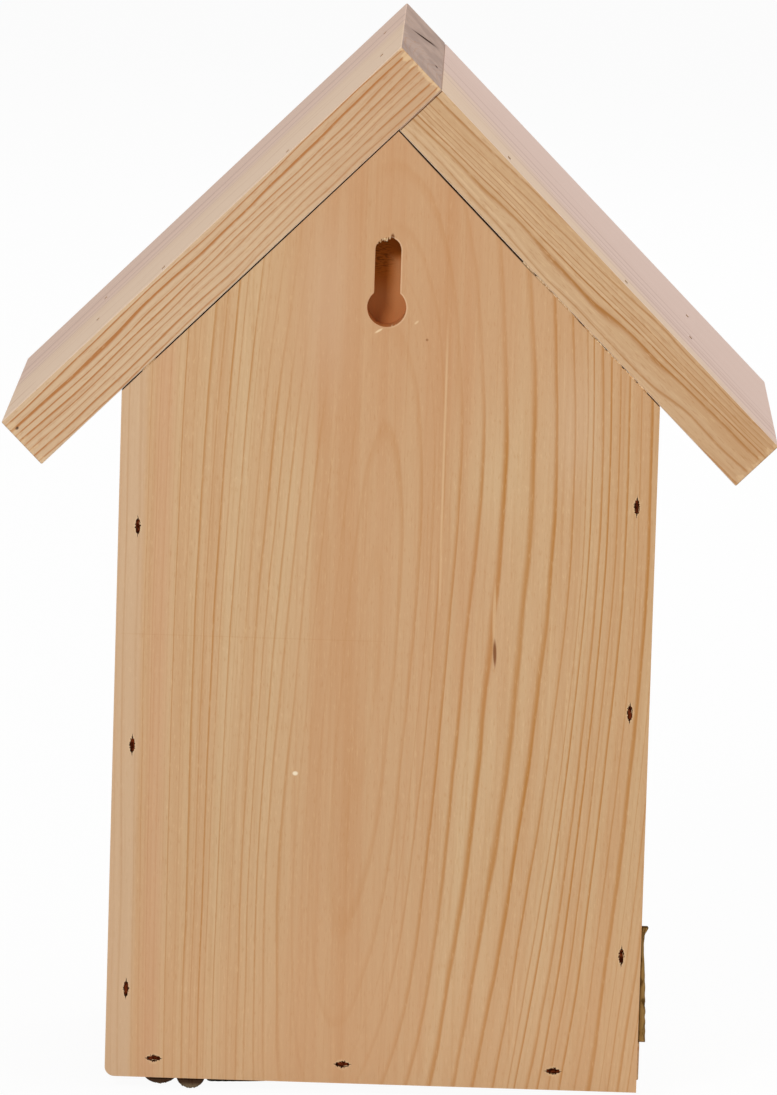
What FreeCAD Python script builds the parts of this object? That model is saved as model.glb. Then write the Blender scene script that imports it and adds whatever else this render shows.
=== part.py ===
import FreeCAD, Part
import Sketcher
import math
import os

# A wall-hung bee hotel in bare pine: a gabled box of stapled boards under two thick roof boards,
# filled with drilled branch logs, a stack of bamboo tubes and three drilled blocks.
#
# Frame, in millimetres. The back of the box lies in the plane Y = 0, against the wall. The open
# front faces -Y and +Z is up. X = 0 is the middle of the back board and Z = 0 its lower edge.
# Left and right are as seen from the open front, so left is -X. The roof boards slope at 45
# degrees and stand square to each other.

SIZES = {
    # Box of boards
    "board_width": 165.0,  # back board and box, outside
    "wall_height": 215.0,  # lower edge to the outer edge of the walls' bevelled tops
    "wall_depth": 105.0,  # walls and floor, in front of the back board
    "back_thickness": 18.0,
    "wall_thickness": 12.0,
    "floor_thickness": 12.0,
    "shelf_thickness": 12.0,
    "shelf_set_back": 2.0,  # shelf front behind the walls' front
    "floor_proud": 0.9,  # floor's left end, sawn a little long
    "worn_corner": 3.0,  # rounded lower right corner of the back board
    "edge_round": 0.5,  # sanded edges of walls, floor, shelves and roof
    # Roof
    "roof_thickness": 18.0,
    "roof_depth": 145.0,
    "eave_overhang": 34.0,  # along the slope, past the wall's outer face
    "gable_gap": 0.35,  # open joint between the back board and the roof
    # Keyhole hanger, cut with a T-slot cutter from behind
    "keyhole_shift": 2.1,  # to the right of the middle
    "keyhole_height": 242.8,  # centre of the round entry
    "keyhole_diameter": 12.0,
    "keyhole_slot": 8.0,
    "keyhole_rise": 17.7,  # entry centre to the slot's top centre
    "keyhole_lip": 4.0,  # wood left in front of the undercut
    "keyhole_depth": 10.0,
    # Wire staples
    "staple_crown": 4.0,
    "staple_wire": 1.2,
    "staple_leg": 30.0,
    "staple_sink": 1.0,  # crown below the surface
    "right_staple_low": 27.8,  # above the lower edge
    "right_staple_top": 42.2,  # below the wall's top
    "right_staple_shift": 4.2,  # middle staple above the mean of the other two
    "left_staple_low": 42.9,
    "left_staple_top": 31.4,
    "left_staple_shift": 6.1,
    "floor_staple_right": 15.1,  # in from the right edge
    "floor_staple_left": 26.0,  # in from the left edge
    "floor_staple_middle": 8.8,  # to the right of the middle
    "gable_staple_inset": 30.0,  # along the slope, from the ridge and from the wall
    # Nest holes
    "nest_depth": 85.0,
    "wide_nest": 8.4,
    "medium_nest": 6.2,
    "narrow_nest": 4.4,
    # Filling
    "fill_gap": 0.3,  # between neighbours that lie side by side
    "tier_room": 0.5,  # above each tier
    "log_bark": 2.0,
    "log_set_back": 4.0,
    "log_hole_circle": 13.5,  # radius of the ring of smaller holes
    "tube_set_back": 2.5,
    "tube_stagger": 1.1,  # step between the uneven front ends
    "block_set_back": 3.0,
    "gable_slat": 24.0,  # height of the lower of the two gable blocks
    "gable_corner": 4.0,  # its blunt lower corners
    # Bark left on the outside
    "wall_bark_height": 36.6,
    "wall_bark_foot": 2.9,  # thickness at the floor
    "wall_bark_neck": 1.3,
    "wall_bark_lip": 2.4,
    "wall_bark_flare": 5.6,  # height of the flared lip
    "wall_bark_length": 14.0,
    "wall_bark_start": 1.0,  # in front of the back board
    "base_bark_start": 1.0,  # in front of the wall plane
    "base_bark_length": 46.0,
    "base_bark_inset": 12.3,  # in from the right edge
    "base_bark_1_width": 9.7,
    "base_bark_1_drop": 2.2,
    "base_bark_2_width": 8.8,
    "base_bark_2_drop": 3.5,
    "base_bark_3_width": 20.0,
    "base_bark_3_drop": 1.0,
}

COUNTS = {
    "logs_across": 3,
    "log_holes": 5,  # smaller holes round the wide one
    "tubes_across": 7,
    "tube_rows": 5,
    "block_low_holes": 5,
    "block_high_holes": 6,
    "gable_low_holes": 4,
    "gable_middle_holes": 2,
    "gable_peak_holes": 1,
    "base_barks": 3,
}

# Rows of holes in each drilled block: share of its height, size of nest, count of holes
BLOCK_ROWS = {
    "drilled_block": ((0.24, "wide", "block_low_holes"), (0.64, "medium", "block_high_holes")),
    "gable_block_low": ((0.5, "medium", "gable_low_holes"),),
    "gable_block_top": ((0.18, "wide", "gable_middle_holes"), (0.58, "medium", "gable_peak_holes")),
}

# Places and sizes that follow from the driving ones
FITS = {
    "half_width": "sizes.board_width / 2",
    "half_inside": "half_width - sizes.wall_thickness",
    "wall_middle": "half_width - sizes.wall_thickness / 2",
    "roof_apex": "sizes.wall_height + half_width",
    "gable_peak": "roof_apex - sizes.gable_gap * sqrt(2)",
    "roof_reach": "half_width + sizes.eave_overhang / sqrt(2)",
    "roof_step": "sizes.roof_thickness / sqrt(2)",
    "log_pitch": "(2 * half_inside - 2 * sizes.fill_gap) / counts.logs_across",
    "log_diameter": "log_pitch - sizes.fill_gap",
    "log_z": "sizes.floor_thickness + log_diameter / 2",
    "lower_shelf_z": "sizes.floor_thickness + log_diameter + sizes.tier_room",
    "tube_floor_z": "lower_shelf_z + sizes.shelf_thickness",
    "tube_pitch": "(2 * half_inside - sizes.fill_gap) / counts.tubes_across",
    "tube_diameter": "tube_pitch - sizes.fill_gap",
    "tube_rise": "tube_pitch * sqrt(3) / 2",
    "tube_stack": "tube_diameter + (counts.tube_rows - 1) * tube_rise",
    "upper_shelf_z": "tube_floor_z + tube_stack + sizes.tier_room",
    "block_floor_z": "upper_shelf_z + sizes.shelf_thickness",
    "block_top_z": "roof_apex - half_inside - sizes.tier_room",
    "block_half": "half_inside - sizes.fill_gap",
    "gable_limit": "roof_apex - sizes.fill_gap * sqrt(2)",
    "gable_half": "gable_limit - block_top_z - sizes.gable_corner",
    "gable_split_z": "block_top_z + sizes.gable_slat",
    "gable_split_half": "gable_limit - gable_split_z",
    "keyhole_undercut": "sizes.keyhole_depth - sizes.keyhole_lip",
}

# How far a cutting shape runs past the surface that it cuts
OVERRUN = 1.0

# Share of a full turn between the holes of one log and the next
LOG_TURN = 0.143

SQUARE_HALF = math.sqrt(0.5)
RIGHT = FreeCAD.Vector(1, 0, 0)
LEFT = FreeCAD.Vector(-1, 0, 0)
BACK = FreeCAD.Vector(0, 1, 0)
DOWN = FreeCAD.Vector(0, 0, -1)
UP = FreeCAD.Vector(0, 0, 1)
RIGHT_SLOPE = FreeCAD.Vector(SQUARE_HALF, 0, SQUARE_HALF)
LEFT_SLOPE = FreeCAD.Vector(-SQUARE_HALF, 0, SQUARE_HALF)

doc = FreeCAD.newDocument("bee_hotel")
nodes = []


def make_sheet(name, cells):
    """A sheet with each value in column B under its own alias."""
    sheet = doc.addObject("Spreadsheet::Sheet", name)
    for row, (alias, content) in enumerate(cells.items(), start=1):
        sheet.set(f"A{row}", alias)
        sheet.set(f"B{row}", content)
        sheet.setAlias(f"B{row}", alias)
    doc.recompute()
    return sheet


sizes = make_sheet("sizes", {alias: str(value) for alias, value in SIZES.items()})
counts = make_sheet("counts", {alias: str(value) for alias, value in COUNTS.items()})
fits = make_sheet("fits", {alias: "=" + rule for alias, rule in FITS.items()})


def value(rule):
    """The number that a rule in the sheets' names gives."""
    return float(sizes.evalExpression(rule))


def bind(target, **rules):
    """Tie properties of an object to rules in the sheets' names."""
    for name, rule in rules.items():
        target.setExpression(name, rule)


def place(target, x="0", y="0", z="0"):
    """Tie an object's place to rules in the sheets' names."""
    for axis, rule in (("x", x), ("y", y), ("z", z)):
        target.setExpression(f"Placement.Base.{axis}", rule)


def as_node(target, label):
    """Name a finished piece and list it for writing."""
    target.Label = label
    nodes.append(target)
    return target


# Basic shapes


def board(label, corners, depth, front_of="0"):
    """A board with a straight-sided outline in X and Z, running forward from a given depth."""
    body = doc.addObject("PartDesign::Body", label + "_body")
    outline = body.newObject("Sketcher::SketchObject", label + "_outline")
    plane = next(item for item in body.Origin.OriginFeatures if item.Role == "XZ_Plane")
    outline.AttachmentSupport = [(plane, "")]
    outline.MapMode = "FlatFace"
    points = [FreeCAD.Vector(value(x), value(z), 0) for x, z in corners]
    count = len(points)
    for index in range(count):
        outline.addGeometry(Part.LineSegment(points[index], points[(index + 1) % count]))
    for index in range(count):
        outline.addConstraint(Sketcher.Constraint("Coincident", index, 2, (index + 1) % count, 1))
    for index, (x, z) in enumerate(corners):
        for kind, rule in (("DistanceX", x), ("DistanceY", z)):
            constraint = Sketcher.Constraint(kind, -1, 1, index, 1, value(rule))
            number = outline.addConstraint(constraint)
            outline.setExpression(f"Constraints[{number}]", rule)
    pad = body.newObject("PartDesign::Pad", label + "_pad")
    pad.Profile = outline
    bind(pad, Length=depth)
    place(body, y=f"-({front_of})")
    return body


def round_all_edges(body):
    """Sand every edge of a board."""
    fillet = body.newObject("PartDesign::Fillet", body.Name + "_round")
    fillet.Base = (body.Group[-2], [""])
    fillet.UseAllEdges = True
    bind(fillet, Radius="sizes.edge_round")
    return body


def mirrored(corners):
    """The same outline on the other side of X = 0."""
    return [(f"-({x})", z) for x, z in reversed(corners)]


def box(label, length, width, height, x="0", y="0", z="0"):
    """A box from its low corner."""
    item = doc.addObject("Part::Box", label)
    bind(item, Length=length, Width=width, Height=height)
    place(item, x, y, z)
    return item


def rod(label, diameter, length, x, back, z):
    """A round bar that runs forward from a given depth behind the wall plane."""
    item = doc.addObject("Part::Cylinder", label)
    item.Placement = FreeCAD.Placement(FreeCAD.Vector(), FreeCAD.Rotation(RIGHT, 90))
    bind(item, Radius=f"({diameter}) / 2", Height=length)
    place(item, x, f"-({back})", z)
    return item


def combined(kind, label, base, tool):
    """A boolean of two objects."""
    item = doc.addObject(kind, label)
    item.Base = base
    item.Tool = tool
    return item


def together(label, items):
    """Several objects as one group."""
    group = doc.addObject("Part::Compound", label)
    group.Links = items
    return group


def nest_hole(label, diameter, x, front, z):
    """The cutter of a blind nest hole, drilled backwards from a front face."""
    bottom = f"{front} - sizes.nest_depth"
    return rod(label, diameter, f"sizes.nest_depth + {OVERRUN}", x, bottom, z)


# Staples


def staple_shapes():
    """One staple, its crown along X and its legs down -Z below the surface, and what it cuts."""
    outer = box(
        "staple_outer",
        "sizes.staple_crown",
        "sizes.staple_wire",
        "sizes.staple_leg",
        "-sizes.staple_crown / 2",
        "-sizes.staple_wire / 2",
        "-sizes.staple_sink - sizes.staple_leg",
    )
    inner = box(
        "staple_inner",
        "sizes.staple_crown - 2 * sizes.staple_wire",
        f"sizes.staple_wire + {2 * OVERRUN}",
        f"sizes.staple_leg - sizes.staple_wire + {OVERRUN}",
        "sizes.staple_wire - sizes.staple_crown / 2",
        f"-sizes.staple_wire / 2 - {OVERRUN}",
        f"-sizes.staple_sink - sizes.staple_leg - {OVERRUN}",
    )
    slot = box(
        "staple_slot",
        "sizes.staple_crown",
        "sizes.staple_wire",
        f"sizes.staple_sink + {OVERRUN}",
        "-sizes.staple_crown / 2",
        "-sizes.staple_wire / 2",
        "-sizes.staple_sink",
    )
    form = combined("Part::Cut", "staple_form", outer, inner)
    cutter = combined("Part::Fuse", "staple_cutter", form, slot)
    doc.recompute()
    return form.Shape, cutter.Shape


def staple_group(label, places):
    """Staples at (point, outward direction, crown direction), and a cutter for their holes."""
    placements = []
    for point, outward, crown in places:
        turn = FreeCAD.Rotation(crown, outward.cross(crown), outward, "ZXY")
        placements.append(FreeCAD.Placement(point, turn))
    shapes = []
    for form in (staple_form, staple_cutter):
        copies = [form.transformed(placement.toMatrix()) for placement in placements]
        shapes.append(Part.makeCompound(copies))
    group = doc.addObject("Part::Feature", label)
    group.Shape = shapes[0]
    as_node(group, label)
    cutter = doc.addObject("Part::Feature", label + "_holes")
    cutter.Shape = shapes[1]
    return cutter


def along_depth(start, depth):
    """A quarter and three quarters of the way forward."""
    return [-(start + depth * share) for share in (0.25, 0.75)]


def back_staple_places():
    """Three staples down each side of the back board, as they were shot by hand."""
    places = []
    for side, name in ((1, "right"), (-1, "left")):
        low = value(f"sizes.{name}_staple_low")
        high = value(f"sizes.wall_height - sizes.{name}_staple_top")
        middle = (low + high) / 2 + value(f"sizes.{name}_staple_shift")
        for height in (low, middle, high):
            point = FreeCAD.Vector(side * value("fits.wall_middle"), 0, height)
            places.append((point, BACK, UP))
    return places


def back_floor_staple_places():
    """Three staples along the lower edge of the back board, into the floor."""
    height = value("sizes.floor_thickness / 2")
    middle = value("sizes.floor_staple_middle")
    right = value("fits.half_width - sizes.floor_staple_right")
    left = value("sizes.floor_staple_left - fits.half_width")
    return [(FreeCAD.Vector(x, 0, height), BACK, RIGHT) for x in (left, middle, right)]


def wall_foot_staple_places():
    """Staples from under the floor, up into the walls."""
    x = value("fits.wall_middle")
    depths = along_depth(value("sizes.back_thickness"), value("sizes.wall_depth"))
    return [(FreeCAD.Vector(side * x, y, 0), DOWN, BACK) for side in (1, -1) for y in depths]


def shelf_staple_places():
    """Staples through the walls into the ends of both shelves."""
    x = value("fits.half_width")
    depths = along_depth(value("sizes.back_thickness"), value("sizes.wall_depth"))
    places = []
    for shelf in ("lower", "upper"):
        height = value(f"fits.{shelf}_shelf_z + sizes.shelf_thickness / 2")
        for y in depths:
            places.append((FreeCAD.Vector(x, y, height), RIGHT, BACK))
            places.append((FreeCAD.Vector(-x, y, height), LEFT, BACK))
    return places


def roof_staple_places():
    """Staples through the roof into the walls' bevelled tops and the back board's gable."""
    reach = value("fits.half_width - sizes.wall_thickness / 4")
    inset = value("sizes.gable_staple_inset / sqrt(2)")
    step = value("fits.roof_step")
    apex = value("fits.roof_apex")
    middle = -value("sizes.back_thickness / 2")
    spots = [(reach, y) for y in along_depth(value("sizes.back_thickness"), value("sizes.wall_depth"))]
    spots += [(inset, middle), (reach - inset, middle)]
    places = []
    for x, y in spots:
        height = apex - x + step
        places.append((FreeCAD.Vector(x + step, y, height), RIGHT_SLOPE, BACK))
        places.append((FreeCAD.Vector(-x - step, y, height), LEFT_SLOPE, BACK))
    return places


def ridge_staple_places():
    """Staples through the long roof board into the upper end of the short one, half way up the lap."""
    lap_top = FreeCAD.Vector(0, 0, value("fits.roof_apex + 2 * fits.roof_step"))
    lap_foot = FreeCAD.Vector(value("fits.roof_step"), 0, value("fits.roof_apex + fits.roof_step"))
    middle = (lap_top + lap_foot) / 2
    depths = along_depth(0, value("sizes.roof_depth"))
    return [(FreeCAD.Vector(middle.x, y, middle.z), RIGHT_SLOPE, BACK) for y in depths]


# Boards


def keyhole_cutter():
    """A round entry with a narrower slot above it, undercut behind a lip for a screw's head."""
    x = "sizes.keyhole_shift"
    low = "sizes.keyhole_height"
    high = "sizes.keyhole_height + sizes.keyhole_rise"
    through = f"sizes.keyhole_depth + {OVERRUN}"
    entry = rod("keyhole_entry", "sizes.keyhole_diameter", through, x, f"-{OVERRUN}", low)
    parts = [entry]
    for label, width, length, back in (
        ("slot", "sizes.keyhole_slot", through, f"-{OVERRUN}"),
        ("undercut", "sizes.keyhole_diameter", "fits.keyhole_undercut", "sizes.keyhole_lip"),
    ):
        parts.append(rod(f"keyhole_{label}_top", width, length, x, back, high))
        left = f"{x} - {width} / 2"
        front = f"-({back}) - ({length})"
        parts.append(box(f"keyhole_{label}", width, length, "sizes.keyhole_rise", left, front, low))
    cutter = doc.addObject("Part::MultiFuse", "keyhole_cutter")
    cutter.Shapes = parts
    return cutter


def back_board(staple_holes):
    """The gabled back with one worn corner, its keyhole and its staple holes."""
    shoulder = "fits.gable_peak - fits.half_width"
    corners = [
        ("-fits.half_width", "0"),
        ("fits.half_width", "0"),
        ("fits.half_width", shoulder),
        ("0", "fits.gable_peak"),
        ("-fits.half_width", shoulder),
    ]
    body = board("back_board", corners, "sizes.back_thickness")
    doc.recompute()
    pad = body.Tip
    corner = FreeCAD.Vector(value("fits.half_width"), 0, 0)
    worn = next(
        number
        for number, edge in enumerate(pad.Shape.Edges, start=1)
        if all(math.hypot(v.X - corner.x, v.Z) < 1e-6 for v in edge.Vertexes)
    )
    fillet = body.newObject("PartDesign::Fillet", "worn_corner")
    fillet.Base = (pad, [f"Edge{worn}"])
    bind(fillet, Radius="sizes.worn_corner")
    holes = together("back_board_holes", [keyhole_cutter(), staple_holes])
    as_node(combined("Part::Cut", "back_board", body, holes), "back_board")


def box_boards(staple_holes):
    """Side walls with bevelled tops, the floor under them and the two shelves between them."""
    depth = "sizes.wall_depth"
    inner = "fits.half_inside"
    outer = "fits.half_width"
    wall = [
        (inner, "sizes.floor_thickness"),
        (outer, "sizes.floor_thickness"),
        (outer, "sizes.wall_height"),
        (inner, "sizes.wall_height + sizes.wall_thickness"),
    ]
    left_end = "-fits.half_width - sizes.floor_proud"
    floor = [
        (left_end, "0"),
        (outer, "0"),
        (outer, "sizes.floor_thickness"),
        (left_end, "sizes.floor_thickness"),
    ]
    pieces = [
        ("wall_right", wall, depth),
        ("wall_left", mirrored(wall), depth),
        ("floor_board", floor, depth),
    ]
    for name in ("lower", "upper"):
        low = f"fits.{name}_shelf_z"
        high = f"{low} + sizes.shelf_thickness"
        corners = [(f"-{inner}", low), (inner, low), (inner, high), (f"-{inner}", high)]
        pieces.append((f"shelf_{name}", corners, f"{depth} - sizes.shelf_set_back"))
    for label, corners, length in pieces:
        body = round_all_edges(board(label, corners, length, "sizes.back_thickness"))
        as_node(combined("Part::Cut", label, body, staple_holes), label)


def roof_boards(staple_holes):
    """The long board on the right laps over the upper end of the short one on the left."""
    eave = [
        ("fits.roof_reach", "fits.roof_apex - fits.roof_reach"),
        ("fits.roof_reach + fits.roof_step", "fits.roof_apex - fits.roof_reach + fits.roof_step"),
    ]
    long_top = [
        ("0", "fits.roof_apex + 2 * fits.roof_step"),
        ("-fits.roof_step", "fits.roof_apex + fits.roof_step"),
    ]
    short_top = [
        ("fits.roof_step", "fits.roof_apex + fits.roof_step"),
        ("0", "fits.roof_apex"),
    ]
    for label, corners in (
        ("roof_board_long", eave + long_top),
        ("roof_board_short", mirrored(eave + short_top)),
    ):
        body = round_all_edges(board(label, corners, "sizes.roof_depth"))
        as_node(combined("Part::Cut", label, body, staple_holes), label)


# Filling


def centred(index, count, pitch):
    """The X of one of several evenly spaced things."""
    return f"({index} - ({count} - 1) / 2) * {pitch}"


def branch_logs():
    """Short lengths of branch, their bark on, with a wide nest hole in a ring of smaller ones."""
    count = COUNTS["logs_across"]
    ring = COUNTS["log_holes"]
    length = "sizes.wall_depth - sizes.log_set_back"
    back = "sizes.back_thickness"
    front = f"sizes.back_thickness + {length}"
    core = "(fits.log_diameter - 2 * sizes.log_bark)"
    for number in range(1, count + 1):
        x = centred(number - 1, count, "fits.log_pitch")
        name = f"branch_log_{number}"
        cutters = [nest_hole(f"{name}_middle", "sizes.wide_nest", x, front, "fits.log_z")]
        for spoke in range(ring):
            angle = f"({spoke} / {ring} + {number} * {LOG_TURN}) * 360 deg"
            hole_x = f"{x} + sizes.log_hole_circle * cos({angle})"
            hole_z = f"fits.log_z + sizes.log_hole_circle * sin({angle})"
            label = f"{name}_ring_{spoke}"
            cutters.append(nest_hole(label, "sizes.medium_nest", hole_x, front, hole_z))
        wood = rod(f"{name}_wood", core, length, x, back, "fits.log_z")
        holes = together(f"{name}_holes", cutters)
        as_node(combined("Part::Cut", name, wood, holes), name)
        skin = rod(f"{name}_skin", "fits.log_diameter", length, x, back, "fits.log_z")
        room = rod(
            f"{name}_room", core, f"{length} + {2 * OVERRUN}", x, f"{back} - {OVERRUN}", "fits.log_z"
        )
        as_node(combined("Part::Cut", f"log_bark_{number}", skin, room), f"log_bark_{number}")


def bamboo_tubes():
    """Rows of tubes, each row lying in the hollows of the one below, closed at the back."""
    nests = ("medium", "wide", "narrow")
    number = 0
    for row in range(COUNTS["tube_rows"]):
        count = COUNTS["tubes_across"] - row % 2
        z = f"fits.tube_floor_z + fits.tube_diameter / 2 + {row} * fits.tube_rise"
        for column in range(count):
            number += 1
            name = f"bamboo_tube_{number:02d}"
            x = centred(column, count, "fits.tube_pitch")
            stagger = (3 * column + 2 * row) % 4
            length = f"sizes.wall_depth - sizes.tube_set_back - {stagger} * sizes.tube_stagger"
            front = f"sizes.back_thickness + {length}"
            nest = nests[(column + 2 * row) % len(nests)]
            cane = rod(f"{name}_cane", "fits.tube_diameter", length, x, "sizes.back_thickness", z)
            bore = nest_hole(f"{name}_bore", f"sizes.{nest}_nest", x, front, z)
            as_node(combined("Part::Cut", name, cane, bore), name)


def drilled_blocks():
    """A block on the upper shelf and two gable blocks on top of it, with rows of holes."""
    length = "sizes.wall_depth - sizes.block_set_back"
    front = f"sizes.back_thickness + {length}"
    half = "fits.block_half"
    floor = "fits.block_floor_z"
    top = "fits.block_top_z"
    split = "fits.gable_split_z"
    blunt = f"{top} + sizes.gable_corner"
    block = [(f"-{half}", floor), (half, floor), (half, top), (f"-{half}", top)]
    low_right = [("fits.gable_half", top), ("fits.gable_half", blunt), ("fits.gable_split_half", split)]
    peak = [("-fits.gable_split_half", split), ("fits.gable_split_half", split), ("0", "fits.gable_limit")]
    for label, corners, low, high in (
        ("drilled_block", block, floor, top),
        ("gable_block_low", low_right + mirrored(low_right), top, split),
        ("gable_block_top", peak, split, "fits.gable_limit"),
    ):
        cutters = []
        for row, (share, nest, holes) in enumerate(BLOCK_ROWS[label]):
            count = COUNTS[holes]
            z = f"{low} + ({high} - {low}) * {share}"
            for column in range(count):
                x = centred(column, count, "fits.tube_pitch")
                cutters.append(nest_hole(f"{label}_{row}_{column}", f"sizes.{nest}_nest", x, front, z))
        body = board(label, corners, length, "sizes.back_thickness")
        drilled = together(f"{label}_holes", cutters)
        as_node(combined("Part::Cut", label, body, drilled), label)


# Bark left on the outside


def wall_bark():
    """An upright strip of bark on the left wall, flared at its top, on the proud end of the floor."""
    foot = "sizes.floor_thickness"
    top = f"{foot} + sizes.wall_bark_height"
    face = "-fits.half_width"
    corners = [
        (face, foot),
        (face, top),
        (f"{face} - sizes.wall_bark_lip", top),
        (f"{face} - sizes.wall_bark_neck", f"{top} - sizes.wall_bark_flare"),
        (f"{face} - sizes.wall_bark_foot", foot),
    ]
    start = "sizes.back_thickness + sizes.wall_bark_start"
    as_node(board("wall_bark", corners, "sizes.wall_bark_length", start), "wall_bark")


def base_bark():
    """Ridges of bark side by side under the floor, each a slice of a round, the last a thin flake."""
    right = "fits.half_width - sizes.base_bark_inset"
    for number in range(1, COUNTS["base_barks"] + 1):
        name = f"base_bark_{number}"
        width = f"sizes.{name}_width"
        drop = f"sizes.{name}_drop"
        radius = f"({width} * {width} / (8 * {drop}) + {drop} / 2)"
        x = f"{right} - {width} / 2"
        length = "sizes.base_bark_length"
        start = "sizes.base_bark_start"
        ridge = rod(f"{name}_ridge", f"2 * {radius}", length, x, start, f"{radius} - {drop}")
        front = f"-{start} - {length}"
        below = box(f"{name}_below", width, length, drop, f"{x} - {width} / 2", front, f"-{drop}")
        as_node(combined("Part::Common", name, ridge, below), name)
        right = f"{right} - {width} - sizes.fill_gap"


def check_model():
    """Stop if any object failed, or a piece is empty or not a sound solid."""
    doc.recompute()
    failed = [item.Label for item in doc.Objects if {"Invalid", "Error"} & set(item.State)]
    if failed:
        raise RuntimeError(f"failed objects: {failed}")
    for node in nodes:
        shape = node.Shape
        if shape.isNull() or not shape.isValid() or not shape.Solids:
            raise RuntimeError(f"{node.Label} is not a sound solid")


def write_parts():
    """One file for each piece."""
    os.makedirs("parts", exist_ok=True)
    for node in nodes:
        node.Shape.exportStep(os.path.join("parts", f"{node.Label}.step"))
    print(f"{len(nodes)} pieces, {sum(len(node.Shape.Solids) for node in nodes)} solids")


staple_form, staple_cutter = staple_shapes()
all_holes = together(
    "all_staple_holes",
    [
        staple_group("back_wall_staples", back_staple_places()),
        staple_group("back_floor_staples", back_floor_staple_places()),
        staple_group("wall_foot_staples", wall_foot_staple_places()),
        staple_group("shelf_staples", shelf_staple_places()),
        staple_group("roof_staples", roof_staple_places()),
        staple_group("ridge_staples", ridge_staple_places()),
    ],
)
back_board(all_holes)
box_boards(all_holes)
roof_boards(all_holes)
branch_logs()
bamboo_tubes()
drilled_blocks()
wall_bark()
base_bark()
check_model()
write_parts()
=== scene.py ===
import math
from collections import namedtuple

import bpy
import numpy as np
from mathutils import Matrix, Vector


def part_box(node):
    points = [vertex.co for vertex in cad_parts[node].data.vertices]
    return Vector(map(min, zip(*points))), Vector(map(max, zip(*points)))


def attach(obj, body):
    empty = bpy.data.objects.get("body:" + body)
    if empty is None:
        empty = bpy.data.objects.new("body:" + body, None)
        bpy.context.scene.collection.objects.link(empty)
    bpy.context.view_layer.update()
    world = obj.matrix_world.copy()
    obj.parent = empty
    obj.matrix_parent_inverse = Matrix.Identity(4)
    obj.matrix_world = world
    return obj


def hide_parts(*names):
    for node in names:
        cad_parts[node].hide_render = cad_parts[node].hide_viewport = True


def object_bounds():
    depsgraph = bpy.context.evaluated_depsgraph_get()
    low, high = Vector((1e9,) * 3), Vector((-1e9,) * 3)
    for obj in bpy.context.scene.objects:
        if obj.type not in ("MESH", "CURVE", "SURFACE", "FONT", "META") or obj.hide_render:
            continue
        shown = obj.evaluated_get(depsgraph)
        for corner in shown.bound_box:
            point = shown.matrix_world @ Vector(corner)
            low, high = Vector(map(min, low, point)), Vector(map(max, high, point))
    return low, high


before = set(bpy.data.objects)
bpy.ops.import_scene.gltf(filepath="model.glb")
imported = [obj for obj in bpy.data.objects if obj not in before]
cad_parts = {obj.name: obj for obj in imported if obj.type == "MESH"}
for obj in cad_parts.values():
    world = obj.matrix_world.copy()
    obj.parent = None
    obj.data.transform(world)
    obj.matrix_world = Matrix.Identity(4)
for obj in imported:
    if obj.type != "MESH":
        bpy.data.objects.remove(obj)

# A wall-hung bee hotel seen from behind. Lengths are millimetres in the part's own frame: the back lies in
# the plane Y = 0, the open front faces -Y, +X is right (left as seen from behind) and +Z is up. Meshes are
# put down in metres, and the stage, the lamps and the camera are placed in metres.

cad_low, cad_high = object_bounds()
MM = 0.001

HALF_WIDTH = 82.5
BACK_THICKNESS = 18.0
WALL_DEPTH = 105.0
ROOF_APEX = 297.5
JOINT_OPENING = 0.35
FLOOR_THICKNESS = 12.0
KEYHOLE_X = 2.1
KEYHOLE_Z = 242.8
KEYHOLE_RISE = 17.7
KEYHOLE_SLOT = 4.0
KEYHOLE_ENTRY = 6.0
LOG_X = (-46.8, 0.0, 46.8)
LOG_Z = 35.25
LOG_CORE = 21.25
LOG_RADIUS = 23.25
LOG_FRONT = 119.0
TUBE_RADIUS = 9.9
TUBE_PITCH = 20.1
TUBE_RISE = TUBE_PITCH * math.sqrt(3) / 2
TUBE_FLOOR = 71.0
NEST_DEPTH = 85.0
NEST_RADII = (3.1, 4.2, 2.2)
STAPLE_CROWN = 4.0
STAPLE_WIRE = 1.2
SIDE_STAPLES = ((76.5, 27.8), (76.5, 104.5), (76.5, 172.8), (-76.5, 42.9), (-76.5, 119.35), (-76.5, 183.6))
FLOOR_STAPLES = ((-56.5, 6.0), (8.8, 6.0), (67.4, 6.0))
STRIP_TOP = 48.55
STRIP_NEAR = 19.0
STRIP_FAR = 33.0
RIDGE_NEAR = 1.0
RIDGE_FAR = 47.0

X_AXIS = (1, 0, 0)
Y_AXIS = (0, 1, 0)
FORWARD = (0, -1, 0)
Z_AXIS = (0, 0, 1)
SLANT = math.sqrt(0.5)
ROOF_MIDDLE = ROOF_APEX * SLANT
ROOF_THICKNESS = 18.0
SLOPE_TOP = ROOF_APEX - 2 * JOINT_OPENING * SLANT
RIGHT_SLOPE = (SLANT, 0, -SLANT)
RIGHT_OUT = (SLANT, 0, SLANT)
LEFT_SLOPE = (-SLANT, 0, -SLANT)
LEFT_OUT = (-SLANT, 0, SLANT)


def colour(red, green, blue):
    """A colour written in screen values from 0 to 255, as the linear values that a shader takes."""
    screen = np.array([red, green, blue]) / 255
    linear = np.where(screen <= 0.04045, screen / 12.92, ((screen + 0.055) / 1.055) ** 2.4)
    return (*(float(part) for part in linear), 1.0)


# Shader maths


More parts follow.
